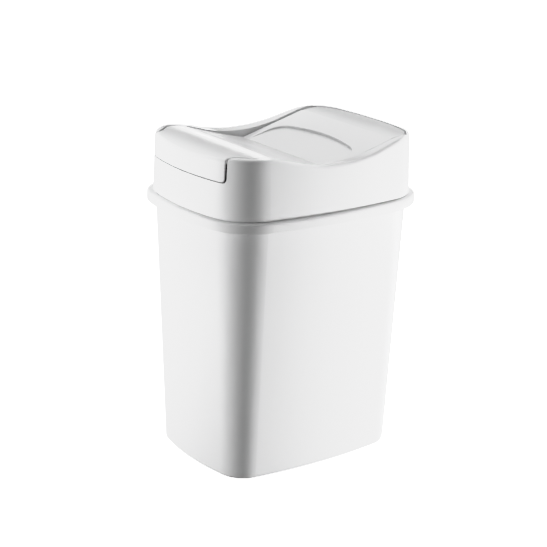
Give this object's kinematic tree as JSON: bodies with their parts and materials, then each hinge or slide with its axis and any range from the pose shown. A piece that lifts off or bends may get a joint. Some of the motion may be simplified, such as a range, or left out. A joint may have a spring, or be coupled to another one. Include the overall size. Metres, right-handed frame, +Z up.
{
  "type": "waste bin",
  "caption": "Tapered rectangular waste bin with a rolled rim, a lift-off lid with a saddle-shaped top and a rocking flap with a front lip.",
  "frame": {"origin": "middle of the base, on the surface the bin stands on", "axes": "+Z up, -Y to the front (the side with the flap's lip), +X to the right of someone who faces the way +Y points"},
  "size_m": [0.2682, 0.34, 0.4462],
  "materials": {
    "bucket_plastic": "glossy white",
    "lid_plastic": "glossy white",
    "flap_plastic": "glossy white"
  },
  "bodies": {
    "bucket": {"bucket": "bucket_plastic"},
    "hood": {"hood": "lid_plastic"},
    "flap": {"flap": "flap_plastic"}
  },
  "joints": [
    {"name": "hood_lift", "type": "slide", "parent": "bucket", "child": "hood", "axis": [0, 0, 1], "range_m": [0, 0.12]},
    {"name": "flap_rock", "type": "hinge", "parent": "hood", "child": "flap", "pos_m": [0, 0.0041, 0.408], "axis": [-1, 0, 0], "range_deg": [0, 70]}
  ]
}
